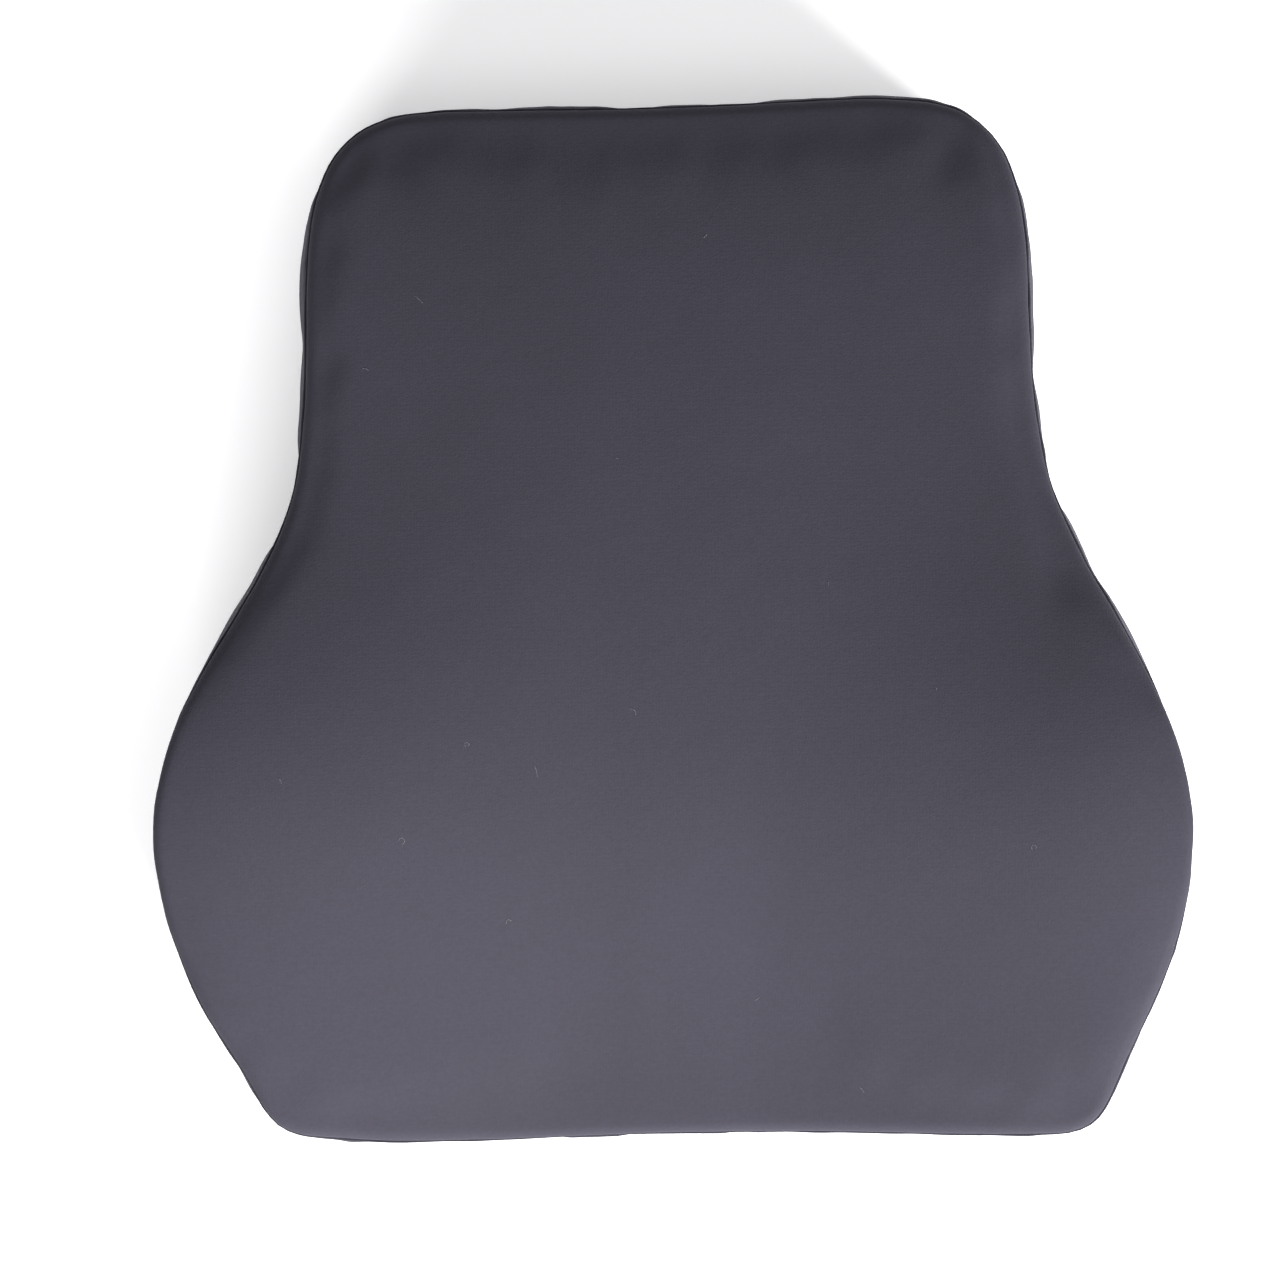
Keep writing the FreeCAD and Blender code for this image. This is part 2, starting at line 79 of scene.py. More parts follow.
def spline(knots):
    xs = np.array([k[0] for k in knots], float)
    ys = np.array([k[1] for k in knots], float)
    n = len(xs)
    h = np.diff(xs)
    A = np.zeros((n, n))
    r = np.zeros(n)
    A[0, 0] = A[-1, -1] = 1
    for i in range(1, n - 1):
        A[i, i - 1:i + 2] = h[i - 1], 2 * (h[i - 1] + h[i]), h[i]
        r[i] = 6 * ((ys[i + 1] - ys[i]) / h[i] - (ys[i] - ys[i - 1]) / h[i - 1])
    m = np.linalg.solve(A, r)

    def f(x):
        x = np.asarray(x, float)
        i = np.clip(np.searchsorted(xs, x) - 1, 0, n - 2)
        t, s = xs[i + 1] - x, x - xs[i]
        return (m[i] * t ** 3 + m[i + 1] * s ** 3) / (6 * h[i]) + (ys[i] / h[i] - m[i] * h[i] / 6) * t \
            + (ys[i + 1] / h[i] - m[i + 1] * h[i] / 6) * s
    return f


centre_z, wing_z = spline(CENTRE_Z), spline(WING_Z)


def front_z(x, y):
    w = np.clip((np.abs(x) - WING_FROM) / (WING_TO - WING_FROM), 0, 1)
    return centre_z(y) + w * w * (3 - 2 * w) * wing_z(y)


def back_z(x, y):
    u = np.clip(np.abs(y - ARCH_Y) / ARCH_HALF, 0, 1)
    arch = ARCH_H * np.cos(u * math.pi / 2) ** 2
    t = np.clip((np.abs(x) - LIFT_FROM) / (LIFT_TO - LIFT_FROM), 0, 1)
    lift = LIFT_H * t * t * t * (t * (6 * t - 15) + 10)
    return np.maximum((arch ** 3 + lift ** 3) ** (1.0 / 3) - 0.8, 0.15)


def closed_line():
    """Dense even outline, counter-clockwise from the middle of the lower edge."""
    n = 13
    straight = [(-LOWER_HALF + 2 * LOWER_HALF * i / 12, LOWER_Y) for i in range(n)]
    loop = straight + OUTLINE + [(-x, y) for x, y in OUTLINE[:-1][::-1]]
    p = np.array(loop)
    m = len(p)
    out = []
    for i in range(m):
        p0, p1, p2, p3 = p[i - 1], p[i], p[(i + 1) % m], p[(i + 2) % m]
        for k in range(24):
            t = k / 24
            out.append(0.5 * ((2 * p1) + (p2 - p0) * t + (2 * p0 - 5 * p1 + 4 * p2 - p3) * t * t
                              + (3 * p1 - p0 - 3 * p2 + p3) * t ** 3))
    q = np.array(out)
    ang = np.degrees(np.arctan2(q[:, 1], np.abs(q[:, 0])))
    add = np.interp(ang, [a for a, _ in UNEVEN], [d / 2 for _, d in UNEVEN]) * np.sign(q[:, 0])
    r = np.hypot(q[:, 0], q[:, 1])
    q = q * (1 + add / r)[:, None]
    d = np.hypot(*(np.roll(q, -1, 0) - q).T)
    s = np.concatenate([[0], np.cumsum(d)])
    qq = np.vstack([q, q[:1]])
    # start at the middle of the lower edge
    total = s[-1]
    N = 2880
    start = s[np.argmin(np.abs(q[:, 0]) + (q[:, 1] > 0) * 1e3)]
    t = (start + total * np.arange(N) / N) % total
    e = np.stack([np.interp(t, s, qq[:, 0]), np.interp(t, s, qq[:, 1])], 1)
    for _ in range(40):
        e = 0.5 * e + 0.25 * (np.roll(e, 1, 0) + np.roll(e, -1, 0))
    return e, total


EDGE, TOTAL = closed_line()


def at_arc(s, line=EDGE):
    """Point and inward normal on the outline at arc share s."""
    N = len(line)
    f = (np.asarray(s) % 1.0) * N
    i = np.floor(f).astype(int) % N
    t = (f - np.floor(f))[:, None]
    p = line[i] * (1 - t) + line[(i + 1) % N] * t
    d = line[(i + 12) % N] - line[(i - 12) % N]
    d = d / np.hypot(d[:, 0], d[:, 1])[:, None]
    return p, np.stack([-d[:, 1], d[:, 0]], 1)


def arc_near(x, y):
    return float(np.argmin((EDGE[:, 0] - x) ** 2 + (EDGE[:, 1] - y) ** 2)) / len(EDGE)


NX, NY = 64, 88
c_br, c_tr = arc_near(159.0, -199.0), arc_near(133.0, 184.0)
c_tl, c_bl = arc_near(-133.0, 184.0), arc_near(-159.0, -199.0)
arcs = np.concatenate([
    c_bl - 1 + (c_br - (c_bl - 1)) * np.arange(NX) / NX,
    c_br + (c_tr - c_br) * np.arange(NY) / NY,
    c_tr + (c_tl - c_tr) * np.arange(NX) / NX,
    c_tl + (c_bl - c_tl) * np.arange(NY) / NY])
COLS = len(arcs)
P0, N0 = at_arc(arcs)
P0 = P0 + N0 * (1.1 * np.clip((P0[:, 1] + 188) / 14, 0, 1))[:, None]
smooth_line = EDGE.copy()
for _ in range(2600):
    smooth_line = 0.5 * smooth_line + 0.25 * (np.roll(smooth_line, 1, 0) + np.roll(smooth_line, -1, 0))
d0 = np.roll(smooth_line, -12, 0) - np.roll(smooth_line, 12, 0)
d0 /= np.hypot(d0[:, 0], d0[:, 1])[:, None]
nn = np.stack([-d0[:, 1], d0[:, 0]], 1)
N1 = nn[(np.round((arcs % 1.0) * len(EDGE)).astype(int)) % len(EDGE)]
N1 = 0.5 * N0 + 0.5 * N1
N1 /= np.hypot(N1[:, 0], N1[:, 1])[:, None]


def coons(edge):
    """Even quad grid inside a closed ring of COLS points, as (NX+1, NY+1, 2)."""
    b = edge[:NX + 1]
    r = edge[NX:NX + NY + 1]
    t = edge[NX + NY:2 * NX + NY + 1][::-1]
    l = np.vstack([edge[2 * NX + NY:], edge[:1]])[::-1]
    u = np.linspace(0, 1, NX + 1)[:, None, None]
    v = np.linspace(0, 1, NY + 1)[None, :, None]
    g = (1 - v) * b[:, None] + v * t[:, None] + (1 - u) * l[None] + u * r[None] - (
        (1 - u) * (1 - v) * b[0] + u * (1 - v) * b[-1] + (1 - u) * v * t[0] + u * v * t[-1])
    for _ in range(60):
        g[1:-1, 1:-1] = 0.25 * (g[2:, 1:-1] + g[:-2, 1:-1] + g[1:-1, 2:] + g[1:-1, :-2])
    return g


def ring_index(i):
    """Grid index on the patch's border for ring column i."""
    i %= COLS
    if i < NX:
        return i, 0
    if i < NX + NY:
        return NX, i - NX
    if i < 2 * NX + NY:
        return 2 * NX + NY - i, NY
    return 0, COLS - i


ROUND_ROWS, WALL_ROWS, BACK_ROWS = 5, 16, 3
LOW_A, LOW_B = 3, 6       # wall rows counted from the back seam that hold the zip slot


def wall_rows(z0, z1, p):
    """Heights of the wall's rows between the back seam and the front seam for each column."""
    on_zip = np.clip((152.0 - np.abs(p[:, 0])) / 12.0, 0, 1) * (p[:, 1] < -190)
    on_zip = on_zip * on_zip * (3 - 2 * on_zip)
    h = z1 - z0
    za = (z0 + h * LOW_A / WALL_ROWS) * (1 - on_zip) + SLOT_Z0 * on_zip
    zb = (z0 + h * LOW_B / WALL_ROWS) * (1 - on_zip) + SLOT_Z1 * on_zip
    rows = []
    for k in range(WALL_ROWS + 1):
        if k <= LOW_A:
            z = z0 + (za - z0) * k / LOW_A
        elif k <= LOW_B:
            z = za + (zb - za) * (k - LOW_A) / (LOW_B - LOW_A)
        else:
            z = zb + (z1 - zb) * (k - LOW_B) / (WALL_ROWS - LOW_B)
        rows.append(z)
    return rows


def build_rings(shrink=0.0):
    """Rings of points from the front patch's border down to the back patch's border."""
    rings = []
    for k in range(ROUND_ROWS + 1):
        a = k / ROUND_ROWS * math.pi / 2
        inset = FRONT_R * (1 - math.sin(a)) + shrink
        n = N1 * (1 - k / ROUND_ROWS) + N0 * (k / ROUND_ROWS)
        xy = P0 + n * inset
        z = front_z(xy[:, 0], xy[:, 1]) - FRONT_R * (1 - math.cos(a)) - shrink
        rings.append(np.column_stack([xy, z]))
    top = rings[-1][:, 2]
    base = P0 + N0 * shrink
    low = back_z(base[:, 0], base[:, 1]) + BACK_R + shrink
    rows = wall_rows(low, top, P0)
    for k in range(WALL_ROWS - 1, -1, -1):
        rings.append(np.column_stack([base, rows[k]]))
    for k in range(1, BACK_ROWS + 1):
        a = k / BACK_ROWS * math.pi / 2
        xy = P0 + N0 * (BACK_R * (1 - math.cos(a)) + shrink)
        z = back_z(xy[:, 0], xy[:, 1]) + BACK_R * (1 - math.sin(a)) + shrink
        rings.append(np.column_stack([xy, z]))
    return rings


def build_closed(shrink=0.0):
    """Vertices, faces and a part number per face: 0 front, 1 side, 2 back."""
    rings = build_rings(shrink)
    g = coons(rings[0][:, :2])
    front = np.dstack([g, front_z(g[..., 0], g[..., 1])[..., None] - shrink])
    b = coons(rings[-1][:, :2])
    back = np.dstack([b, back_z(b[..., 0], b[..., 1])[..., None] + shrink])
    for i in range(COLS):
        front[ring_index(i)] = rings[0][i]
        back[ring_index(i)] = rings[-1][i]
    nf = (NX + 1) * (NY + 1)
    verts = [front.reshape(-1, 3)] + rings[1:-1] + [back.reshape(-1, 3)]
    first = [0, nf]
    for r in rings[2:-1]:
        first.append(first[-1] + COLS)
    back0 = nf + COLS * (len(rings) - 2)

    def vid(row, i):
        i %= COLS
        if row == 0:
            a, c = ring_index(i)
            return a * (NY + 1) + c
        if row == len(rings) - 1:
            a, c = ring_index(i)
            return back0 + a * (NY + 1) + c
        return nf + (row - 1) * COLS + i

    faces, part, where = [], [], []
    for i in range(NX):
        for j in range(NY):
            a = i * (NY + 1) + j
            faces.append((a, a + NY + 1, a + NY + 2, a + 1))
            part.append(0)
            where.append((-1, -1))
            faces.append((back0 + a, back0 + a + 1, back0 + a + NY + 2, back0 + a + NY + 1))
            part.append(2)
            where.append((-1, -1))
    for r in range(len(rings) - 1):
        for i in range(COLS):
            faces.append((vid(r, i), vid(r + 1, i), vid(r + 1, i + 1), vid(r, i + 1)))
            part.append(0 if r < ROUND_ROWS else (1 if r < ROUND_ROWS + WALL_ROWS else 2))
            where.append((r, i))
    seam_front = [vid(ROUND_ROWS, i) for i in range(COLS)]
    seam_back = [vid(ROUND_ROWS + WALL_ROWS, i) for i in range(COLS)]
    return np.vstack(verts), faces, np.array(part), where, seam_front, seam_back


def new_mesh(name, verts_mm, faces, smooth=True):
    me = bpy.data.meshes.new(name)
    me.from_pydata((np.asarray(verts_mm) * MM).tolist(), [], [tuple(int(i) for i in f) for f in faces])
    me.update()
    if smooth:
        me.polygons.foreach_set("use_smooth", [True] * len(me.polygons))
    ob = bpy.data.objects.new(name, me)
    scene.collection.objects.link(ob)
    return ob


def coords(ob):
    co = np.empty(len(ob.data.vertices) * 3)
    ob.data.vertices.foreach_get("co", co)
    return co.reshape(-1, 3)


def set_coords(ob, co):
    ob.data.vertices.foreach_set("co", np.asarray(co, float).ravel())
    ob.data.update()


def apply_all(ob):
    dg = bpy.context.evaluated_depsgraph_get()
    me = bpy.data.meshes.new_from_object(ob.evaluated_get(dg), depsgraph=dg)
    ob.modifiers.clear()
    ob.data = me
    return ob


# ------------------------------------------------------------------ cover: cloth stretched over the foam
verts, faces, part, where, seam_f, seam_b = build_closed(0.0)


def smooth01(t):
    t = np.clip(t, 0, 1)
    return t * t * (3 - 2 * t)


# the lower wall stands out a little above the zip, most left of the middle
out_low = 1.3 * smooth01((150 - np.abs(verts[:, 0])) / 40) + 2.0 * np.exp(-((verts[:, 0] + 58) / 55) ** 2)
verts[:, 1] -= out_low * smooth01((-176 - verts[:, 1]) / 27) * smooth01((verts[:, 2] - 36) / 34)
in_slot = np.zeros(len(faces), bool)
cx = np.array([P0[i % COLS, 0] for i in range(COLS + 1)])
for k, (r, i) in enumerate(where):
    if r >= 0:
        up = ROUND_ROWS + WALL_ROWS - r          # rows above the back seam, 1 = lowest
        xm = 0.5 * (P0[i, 0] + P0[(i + 1) % COLS, 0])
        ym = P0[i, 1]
        if LOW_A < up <= LOW_B and abs(xm) < SLOT_HALF and ym < -190:
            in_slot[k] = True

cover = new_mesh("cover_all", verts, faces)
rest = coords(cover)
near_slot = (rest[:, 1] < -0.190) & (np.abs(rest[:, 0]) < 0.146) & (rest[:, 2] < 0.034) & (rest[:, 2] > 0.006)
flat_back = (rest[:, 2] < 0.0006)

sim = rest.copy()
jitter = np.array([noise.noise(Vector(p) * 90.0) for p in sim])
normals = np.empty(len(cover.data.vertices) * 3)
cover.data.vertices.foreach_get("normal", normals)
normals = normals.reshape(-1, 3)
sim = sim - normals * 0.0012 + normals * jitter[:, None] * 0.0004
set_coords(cover, sim)
pin = cover.vertex_groups.new(name="pin")
strong = set(seam_f) | set(seam_b) | set(np.nonzero(near_slot | flat_back)[0].tolist())
pin.add([int(i) for i in strong], 0.9, "REPLACE")
cloth = cover.modifiers.new("Cloth", "CLOTH")
cs = cloth.settings
cs.quality = 6
cs.mass = 0.25
cs.tension_stiffness = 12
cs.compression_stiffness = 10
cs.shear_stiffness = 4
cs.bending_stiffness = 0.6
cs.use_pressure = True
cs.uniform_pressure_force = 4.0
cs.shrink_min = -0.012
cs.vertex_group_mass = "pin"
cs.effector_weights.gravity = 0
cloth.collision_settings.use_collision = False
cloth.point_cache.frame_start, cloth.point_cache.frame_end = 1, 20
for f in range(1, 21):
    scene.frame_set(f)
apply_all(cover)
scene.frame_set(1)
got = coords(cover)
move = got - rest
length = np.linalg.norm(move, axis=1)
cap = np.where(part_cap := (rest[:, 2] * 1000 > front_z(rest[:, 0] * 1000, rest[:, 1] * 1000) - 14), 0.0012, 0.0028)
cap = np.where(near_slot | flat_back, 0.0003, cap)
move *= np.minimum(1, cap / np.maximum(length, 1e-9))[:, None]
# evens out the grid's own grain, keeping the longer folds
ed = np.array([e.vertices[:] for e in cover.data.edges])
deg = np.bincount(ed.ravel(), minlength=len(rest)).astype(float)
for _ in range(3):
    acc = np.zeros_like(move)
    np.add.at(acc, ed[:, 0], move[ed[:, 1]])
    np.add.at(acc, ed[:, 1], move[ed[:, 0]])
    move = 0.4 * move + 0.6 * acc / deg[:, None]
set_coords(cover, rest + move)
cover_base = coords(cover)

# ------------------------------------------------------------------ seams: grooves and puckers along them
loop_f = cover_base[seam_f]
loop_b = cover_base[seam_b]


def dense(loop, n=2400):
    d = np.linalg.norm(np.roll(loop, -1, 0) - loop, axis=1)
    s = np.concatenate([[0], np.cumsum(d)])
    q = np.vstack([loop, loop[:1]])
    t = np.arange(n) / n * s[-1]
    return np.stack([np.interp(t, s, q[:, k]) for k in range(3)], 1), s[-1]


DF, LF = dense(loop_f)
DB, LB = dense(loop_b)


def wave(s, length, seed, period):
    """Repeating 1-D noise along a closed seam of that length, in metres."""
    a = s / length * 2 * math.pi
    rad = length / (2 * math.pi) / period
    return np.array([noise.noise(Vector((math.cos(x) * rad + seed, math.sin(x) * rad - seed, seed * 1.7))) for x in a])


WF = wave(np.arange(2400) / 2400 * LF, LF, 3.1, 0.0075)
WF2 = wave(np.arange(2400) / 2400 * LF, LF, 9.4, 0.030)
WG = wave(np.arange(2400) / 2400 * LF, LF, 17.2, 0.011)
WB = wave(np.arange(2400) / 2400 * LB, LB, 5.9, 0.009)

kd_f = KDTree(len(DF))
for i, p in enumerate(DF):
    kd_f.insert(p, i)
kd_f.balance()
kd_b = KDTree(len(DB))
for i, p in enumerate(DB):
    kd_b.insert(p, i)
kd_b.balance()

SPOTS = [  # x, y, z mm, reach mm, out mm: places where the sewn cover stands out or is drawn in
    (-31.0, -203.5, 44.0, 20.0, 1.5), (128.0, 190.0, 46.0, 16.0, 2.2), (100.0, 202.0, 50.0, 22.0, 1.0),
    (198.0, -82.0, 62.0, 16.0, 1.4), (-198.0, -82.0, 40.0, 16.0, -0.8), (160.0, -198.0, 60.0, 10.0, 1.2),
    (-156.0, -200.0, 62.0, 8.0, 1.6), (-140.0, 150.0, 40.0, 25.0, 0.8),
]


def detail(ob, kind):
    """Puckers, groove and local fullness as real displacement."""
    co = coords(ob)
    nr = np.empty(len(co) * 3)
    ob.data.vertices.foreach_get("normal", nr)
    nr = nr.reshape(-1, 3)
    out = np.zeros(len(co))
    amp_f = {"front": 0.00006, "side": 0.00042, "back": 0.0}[kind]
    for i, p in enumerate(co):
        v = Vector(p)
        if kind != "back":
            q, k, d = kd_f.find(v)
            if d < 0.045:
                tight = 1.0 + 1.6 * max(0.0, WF2[k] + 0.05)
                w = WF[k] if kind == "front" else 0.6 * WF[k] + 0.9 * WG[k]
                out[i] += amp_f * tight * w * 2.0 * math.exp(-d / (0.006 if kind == "front" else 0.012))
                out[i] -= 0.0007 * math.exp(-(d / 0.0016) ** 2)
        if kind != "front":
            q, k, d = kd_b.find(v)
            if d < 0.04:
                out[i] += 0.00035 * WB[k] * 2.0 * math.exp(-d / 0.010)
                out[i] -= 0.0006 * math.exp(-(d / 0.0016) ** 2)
        if kind != "back":
            out[i] += 0.00010 * noise.noise(v * 38.0) + 0.00004 * noise.noise(v * 120.0)
            if kind == "side":
                out[i] += 0.0005 * noise.noise(Vector((v.x * 30, v.y * 30, v.z * 11)))
                for x, y, z, reach, far in SPOTS:
                    dd = math.sqrt((v.x * 1000 - x) ** 2 + (v.y * 1000 - y) ** 2 + (v.z * 1000 - z) ** 2) / reach
                    if dd < 3:
                        out[i] += far * 0.001 * math.exp(-dd * dd)
        if kind == "side" and co[i, 1] < -0.190 and abs(co[i, 0]) < 0.142 and 0.008 < co[i, 2] < 0.032:
            out[i] *= 0.15
    if kind == "back":
        for i, p in enumerate(co):
            v = Vector(p)
            if p[2] > 0.0012:
                out[i] += 0.0004 * noise.noise(v * 26.0)
    new = co + nr * out[:, None]
    new[:, 2] = np.maximum(new[:, 2], 0.0001)
    set_coords(ob, new)


def take(name, keep):
    """The faces named by keep as an object of their own."""
    ids = sorted({v for k in np.nonzero(keep)[0] for v in faces[k]})
    new = {v: n for n, v in enumerate(ids)}
    co = cover_base[ids] * 1000
    ob = new_mesh(name, co, [[new[v] for v in faces[k]] for k in np.nonzero(keep)[0]])
    return ob


def subdivide(ob, levels):
    m = ob.modifiers.new("sub", "SUBSURF")
    m.levels = m.render_levels = levels
    m.boundary_smooth = "PRESERVE_CORNERS"
    return apply_all(ob)


def turn_in(ob, depth=0.0035, rows=2):
    """Adds a turned-in hem along every open edge."""
    import bmesh
    bm = bmesh.new()
    bm.from_mesh(ob.data)
    bm.normal_update()
    edges = [e for e in bm.edges if e.is_boundary]
    normal = {v: v.normal.copy() for e in edges for v in e.verts}
    away = {}
    for e in edges:
        for v in e.verts:
            f = e.link_faces[0]
            c = f.calc_center_median() - v.co
            away.setdefault(v, Vector()).__iadd__(c)
    current = edges
    step = depth / rows
    link = {v: v for v in normal}
    for r in range(rows):
        res = bmesh.ops.extrude_edge_only(bm, edges=current)
        nv = [g for g in res["geom"] if isinstance(g, bmesh.types.BMVert)]
        ne = [g for g in res["geom"] if isinstance(g, bmesh.types.BMEdge) and g.is_boundary]
        for v in nv:
            src = None
            for e in v.link_edges:
                o = e.other_vert(v)
                if o in link and (o.co - v.co).length < 1e-9:
                    src = link[o]
            if src is None:
                continue
            link[v] = src
            n = normal[src]
            v.co = v.co - n * step + away[src].normalized() * (0.0004 if r == 0 else 0.0)
        current = ne
    for f in bm.faces:
        f.smooth = True
    bm.to_mesh(ob.data)
    bm.free()
    ob.data.update()


levels = 2
cover_front = subdivide(take("cover_front", part == 0), levels)
cover_side = subdivide(take("cover_side", (part == 1) & ~in_slot), levels)
cover_back = subdivide(take("cover_back", part == 2), 1)
bpy.data.objects.remove(cover)
detail(cover_front, "front")
detail(cover_side, "side")
detail(cover_back, "back")
for ob in (cover_front, cover_side, cover_back):
    turn_in(ob)

# ------------------------------------------------------------------ liner and foam inside it
fv, ff, _, _, _, _ = build_closed(2.2)
liner = new_mesh("inner_liner_bag", fv, ff)
fv, ff, _, _, _, _ = build_closed(3.4)
foam = new_mesh("foam_block", fv, ff)
for ob, inset in ((liner, 6.6), (foam, 7.6)):
    co = coords(ob)
    zone = (co[:, 1] < -0.190) & (np.abs(co[:, 0]) < 0.15) & (co[:, 2] < 0.05)
    co[zone, 1] = np.maximum(co[zone, 1], (LOWER_Y + inset) * MM)
    set_coords(ob, co)


def side_of(loop_n, s):
    return loop_n[int(s) % len(loop_n)]


bvh_side = BVHTree.FromPolygons([v.co for v in cover_side.data.vertices], [p.vertices[:] for p in cover_side.data.polygons])


# ------------------------------------------------------------------ seam ridges and stitches
def tube(name, points, radius, closed=True, sides=6, flat=1.0, up=None):
    """A swept cord through points, in metres."""
    n = len(points)
    p = np.asarray(points)
    if closed:
        t = np.roll(p, -1, 0) - np.roll(p, 1, 0)
    else:
        t = np.gradient(p, axis=0)
    t /= np.linalg.norm(t, axis=1)[:, None] + 1e-12
    u = np.tile(np.array([0, 0, 1.0]) if up is None else np.asarray(up, float), (n, 1)) if up is None or np.ndim(up) == 1 else np.asarray(up)
    a = np.cross(t, u)
    a /= np.linalg.norm(a, axis=1)[:, None] + 1e-12
    b = np.cross(a, t)
    v = []
    for k in range(sides):
        w = 2 * math.pi * k / sides
        v.append(p + a * (radius * math.cos(w)) + b * (radius * flat * math.sin(w)))
    v = np.stack(v, 1).reshape(-1, 3)
    f = []
    for i in range(n if closed else n - 1):
        j = (i + 1) % n
        for k in range(sides):
            l = (k + 1) % sides
            f.append((i * sides + k, i * sides + l, j * sides + l, j * sides + k))
    if not closed:
        f.append(tuple(range(sides))[::-1])
        f.append(tuple((n - 1) * sides + k for k in range(sides)))
    return v, f


def seam_ridge(name, loop, other, seed):
    """The two turned fabric edges that stand a little proud along a seam."""
    centre = loop.mean(0)
    d = loop - centre
    d[:, 2] = 0
    # outward direction in plan from the outline's own tangent
    t = np.roll(loop, -1, 0) - np.roll(loop, 1, 0)
    o = np.stack([t[:, 1], -t[:, 0], np.zeros(len(t))], 1)
    o /= np.linalg.norm(o, axis=1)[:, None]
    w = np.array([noise.noise(Vector(p) * 70 + Vector((seed, 0, 0))) for p in loop])
    p = loop + o * (-0.00035 + 0.00022 * w)[:, None]
    p[:, 2] += 0.0002 * w
    v, f = tube(name, p, 0.00055, True, 8, 0.8)
    return new_mesh(name, v * 1000, f)


ridge_f = seam_ridge("front_seam_ridge", DF, None, 2.0)
ridge_b = seam_ridge("back_seam_ridge", DB, None, 8.0)


def stitches(name, path, length=0.0026, gap=0.0009, r=0.00022, closed=False, lift=None):
    """Separate thread stitches laid along a path."""
    p = np.asarray(path)
    q = np.vstack([p, p[:1]]) if closed else p
    s = np.concatenate([[0], np.cumsum(np.linalg.norm(np.diff(q, axis=0), axis=1))])
    vs, fs, n = [], [], 0
    x = gap / 2
    while x + length < s[-1]:
        t = np.linspace(x, x + length, 7)
        c = np.stack([np.interp(t, s, q[:, k]) for k in range(3)], 1)
        bow = np.sin(np.linspace(0, math.pi, 7))
        if lift is not None:
            l = np.asarray(lift(c))
            c = c + l * ((bow - 0.5) * r * 1.2)[:, None]
        v, f = tube("", c, r, False, 6)
        ends = (c[0], c[-1])
        vs.append(v)
        fs += [tuple(i + n for i in g) for g in f]
        n += len(v)
        x += length + gap
    return new_mesh(name, np.vstack(vs) * 1000, fs)


# ------------------------------------------------------------------ zip topstitch
def on_side(x, z):
    """Point and normal on the lower wall at x, z (metres)."""
    hit = bvh_side.ray_cast(Vector((x, -0.25, z)), Vector((0, 1, 0)))
    if hit[0] is None:
        return Vector((x, LOWER_Y * MM, z)), Vector((0, -1, 0))
    return hit[0], hit[1]


top_path, low_path = [], []
for k in range(281):
    x = (-139.5 + 279.0 * k / 280) * MM
    top_path.append(on_side(x, 0.0283)[0] + Vector((0, -0.00005, 0)))
    low_path.append(on_side(x, 0.0127)[0] + Vector((0, -0.00005, 0)))
end_r = [on_side(0.1395, 0.0127 + (0.0283 - 0.0127) * k / 24)[0] for k in range(25)]
end_l = [on_side(-0.1395, 0.0283 + (0.0127 - 0.0283) * k / 24)[0] for k in range(25)]
zip_path = [tuple(p) for p in low_path + end_r[1:-1] + top_path[::-1] + end_l[1:-1]]
zip_stitch = stitches("zip_topstitch", zip_path, closed=True, lift=lambda c: np.tile([0, -1.0, 0], (len(c), 1)))


# ------------------------------------------------------------------ webbing strap
STRAP_Y, STRAP_W, STRAP_T = -82.0, 25.0, 1.2
wrap = 1.5 + 0.2 + STRAP_T / 2


def arc(cx_, cz_, r, a0, a1, n):
    return [(cx_ + r * math.cos(math.radians(a0 + (a1 - a0) * i / n)),
             cz_ + r * math.sin(math.radians(a0 + (a1 - a0) * i / n))) for i in range(n + 1)]


SHORT_PATH = ([(196.6, 26.4), (182, 22.6), (165, 16.0), (148, 8.6), (134, 3.4), (124, 1.6), (112, 1.4),
               (95, 1.4), (75, 1.4), (60, 1.4), (50, 1.9), (42, 2.7)]
              + arc(34.5, 5.3, wrap, 270, 90, 8)
              + [(42, 6.9), (50, 4.4), (58, 3.0), (66, 2.8), (76, 2.8), (86, 2.8)])
TAIL_PATH = [(-196.6, 26.4), (-182, 22.6), (-165, 16.2), (-148, 9.4), (-134, 4.6), (-124, 2.8), (-112, 2.6),
             (-95, 2.6), (-80, 2.6), (-76, 2.6)]
LOOP_PATH = ([(-96, 2.6), (-80, 2.6), (-71, 2.6), (-68.0, 2.9), (-66.9, 4.3), (-66.3, 6.0), (-64.6, 7.4),
              (-62.0, 7.85), (-59.6, 7.85), (-57.6, 7.2), (-56.3, 5.5), (-55.2, 3.7), (-53.2, 2.75), (-50.5, 2.6),
              (-47.5, 2.8), (-36, 5.0), (-24, 6.9)]
             + arc(-14.5, 5.3, wrap, 90, -90, 8)
             + [(-24, 2.2), (-36, 1.4), (-46, 1.2), (-53, 1.25), (-57, 2.0), (-60, 2.55)]
             + arc(-62.3, 4.5, 1.95, 270, 90, 6)
             + [(-61.4, 6.42), (-60.6, 6.4)])


def catmull(points, n=10):
    p = np.array(points, float)
    p = np.vstack([2 * p[0] - p[1], p, 2 * p[-1] - p[-2]])
    out = []
    for i in range(1, len(p) - 2):
        q = p[i - 1:i + 3]
        t = np.concatenate([[0], np.cumsum(np.sqrt(np.linalg.norm(np.diff(q, axis=0), axis=1)))])
        for k in range(n):
            x = t[1] + (t[2] - t[1]) * k / n

            def mix(a, b, ta, tb):
                return ((tb - x) * a + (x - ta) * b) / (tb - ta)
            a1, a2, a3 = mix(q[0], q[1], t[0], t[1]), mix(q[1], q[2], t[1], t[2]), mix(q[2], q[3], t[2], t[3])
            out.append(mix(mix(a1, a2, t[0], t[2]), mix(a2, a3, t[1], t[3]), t[1], t[2]))
    out.append(p[-2])
    return np.array(out)


